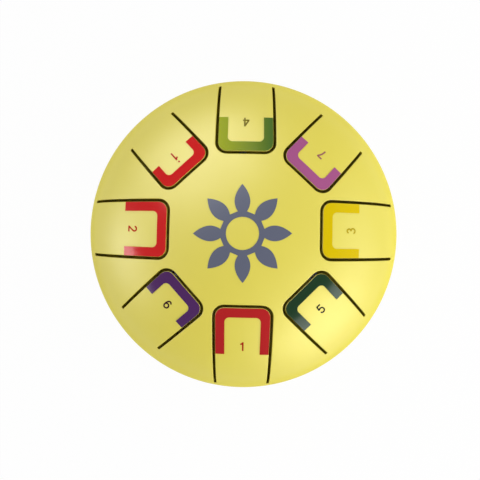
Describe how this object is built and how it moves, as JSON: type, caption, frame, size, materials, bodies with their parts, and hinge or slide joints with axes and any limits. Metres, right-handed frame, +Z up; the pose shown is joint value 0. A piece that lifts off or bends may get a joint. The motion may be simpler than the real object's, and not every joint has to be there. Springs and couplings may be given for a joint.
{
  "type": "tongue drum",
  "caption": "Round steel tongue drum: domed shell with spring tongues cut by U-shaped slots and ringed with colour markers, bowl with a sound hole underneath, rubber feet.",
  "frame": {"origin": "on the table, under the middle of the drum", "axes": "+Z up through the crown; -Y towards the player, at the lowest note's tongue"},
  "size_m": [0.1556, 0.1556, 0.0854],
  "materials": {
    "yellow_paint": "satin powder coat",
    "marker_red": "gloss vinyl",
    "marker_gold": "gloss vinyl",
    "marker_leaf_green": "gloss vinyl",
    "marker_dark_green": "gloss vinyl",
    "marker_violet": "gloss vinyl",
    "marker_mauve": "gloss vinyl",
    "slate_print": "satin print",
    "foot_rubber": "matt",
    "zinc_plate": "bright zinc"
  },
  "bodies": {
    "drum": {"upper_shell": "yellow_paint", "lower_shell": "yellow_paint", "weld_bead": "yellow_paint", "crown_rosette": "slate_print", "foot_1": "foot_rubber", "foot_2": "foot_rubber", "foot_3": "foot_rubber", "foot_screw_1": "zinc_plate", "foot_screw_2": "zinc_plate", "foot_screw_3": "zinc_plate", "foot_nut_1": "zinc_plate", "foot_nut_2": "zinc_plate", "foot_nut_3": "zinc_plate"},
    "tongue_1": {"tongue_1": "yellow_paint", "marker_1": "marker_red"},
    "tongue_2": {"tongue_2": "yellow_paint", "marker_2": "marker_red"},
    "tongue_3": {"tongue_3": "yellow_paint", "marker_3": "marker_gold"},
    "tongue_4": {"tongue_4": "yellow_paint", "marker_4": "marker_leaf_green"},
    "tongue_5": {"tongue_5": "yellow_paint", "marker_5": "marker_dark_green"},
    "tongue_6": {"tongue_6": "yellow_paint", "marker_6": "marker_violet"},
    "tongue_7": {"tongue_7": "yellow_paint", "marker_7": "marker_mauve"},
    "tongue_high_1": {"tongue_high_1": "yellow_paint", "marker_high_1": "marker_red"}
  },
  "joints": [
    {"name": "tongue_1_flex", "type": "hinge", "parent": "drum", "child": "tongue_1", "pos_m": [-0.00073, -0.072, 0.05676], "axis": [-0.9997, 0.0227, 0], "range_deg": [-1, 1], "stiffness_Nm_per_rad": 85},
    {"name": "tongue_2_flex", "type": "hinge", "parent": "drum", "child": "tongue_2", "pos_m": [-0.07045, 0.00289, 0.05885], "axis": [0.0297, 0.9996, 0], "range_deg": [-1, 1], "stiffness_Nm_per_rad": 91.5},
    {"name": "tongue_3_flex", "type": "hinge", "parent": "drum", "child": "tongue_3", "pos_m": [0.07032, 0.0008, 0.05908], "axis": [-0.0157, -0.9999, 0], "range_deg": [-1, 1], "stiffness_Nm_per_rad": 96.1},
    {"name": "tongue_4_flex", "type": "hinge", "parent": "drum", "child": "tongue_4", "pos_m": [0.0019, 0.07028, 0.05911], "axis": [0.9999, -0.0157, 0], "range_deg": [-1, 1], "stiffness_Nm_per_rad": 98.9},
    {"name": "tongue_5_flex", "type": "hinge", "parent": "drum", "child": "tongue_5", "pos_m": [0.04837, -0.04739, 0.06208], "axis": [-0.7145, -0.6997, 0], "range_deg": [-1, 1], "stiffness_Nm_per_rad": 107.6},
    {"name": "tongue_6_flex", "type": "hinge", "parent": "drum", "child": "tongue_6", "pos_m": [-0.04795, -0.04407, 0.06457], "axis": [-0.6561, 0.7547, 0], "range_deg": [-1, 1], "stiffness_Nm_per_rad": 115.7},
    {"name": "tongue_7_flex", "type": "hinge", "parent": "drum", "child": "tongue_7", "pos_m": [0.046, 0.04665, 0.06421], "axis": [0.729, -0.6845, 0], "range_deg": [-1, 1], "stiffness_Nm_per_rad": 121.7},
    {"name": "tongue_high_1_flex", "type": "hinge", "parent": "drum", "child": "tongue_high_1", "pos_m": [-0.04225, 0.04767, 0.06579], "axis": [0.7431, 0.6691, 0], "range_deg": [-1, 1], "stiffness_Nm_per_rad": 127.4}
  ]
}
